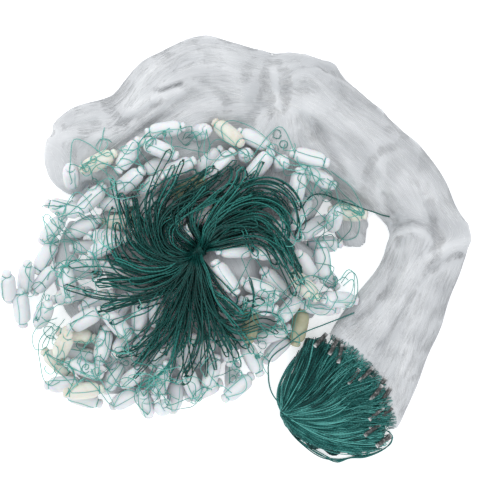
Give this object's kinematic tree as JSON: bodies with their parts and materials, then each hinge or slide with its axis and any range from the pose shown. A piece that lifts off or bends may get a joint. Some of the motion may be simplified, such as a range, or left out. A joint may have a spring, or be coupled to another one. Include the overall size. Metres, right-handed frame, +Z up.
{
  "type": "fishing net",
  "caption": "Bundled gill net: bunched monofilament netting in an arch, tied float line spread over a heap of foam floats, and a fan of lead line with lead sinkers.",
  "frame": {"origin": "on the floor, under the middle of the bundle's bounding box", "axes": "+X along the bundle's long side, from the heap of floats towards the netting's outer bend; +Y from the lead line's fan towards the top of the arch; +Z up from the floor"},
  "size_m": [0.6983, 0.6369, 0.0981],
  "materials": {
    "netting": "silky translucent nylon monofilament",
    "white": "matte foam",
    "cream": "matte foam, yellowed",
    "olive": "matte foam, stained",
    "float_twine": "braided dark green twine",
    "lead_twine": "glossy teal green twine",
    "lead": "dull grey lead, bright at the crimps"
  },
  "bodies": {
    "root": {"netting": "netting", "float_line": "float_twine", "lead_line": "lead_twine", "float_line_end": "float_twine", "lead_line_tail": "lead_twine", "float_01": "white", "float_02": "white", "float_03": "white", "float_04": "white", "float_05": "white", "float_06": "white", "float_07": "white", "float_08": "white", "float_09": "cream", "float_10": "white", "float_11": "white", "float_12": "white", "float_13": "white", "float_14": "white", "float_15": "white", "float_16": "white", "float_17": "white", "float_18": "white", "float_19": "olive", "float_20": "white", "float_21": "white", "float_22": "white", "float_23": "white", "float_24": "white", "float_25": "cream", "float_26": "white", "float_27": "white", "float_28": "cream", "float_29": "white", "float_30": "white", "float_31": "white", "float_32": "cream", "float_33": "white", "float_34": "white", "float_35": "white", "float_36": "white", "float_37": "white", "float_38": "white", "float_39": "white", "float_40": "white", "float_41": "white", "float_42": "white", "float_43": "white", "float_44": "olive", "float_45": "white", "float_46": "white", "float_47": "white", "lead_01": "lead", "lead_02": "lead", "lead_03": "lead", "lead_04": "lead", "lead_05": "lead", "lead_06": "lead", "lead_07": "lead", "lead_08": "lead"}
  },
  "joints": []
}
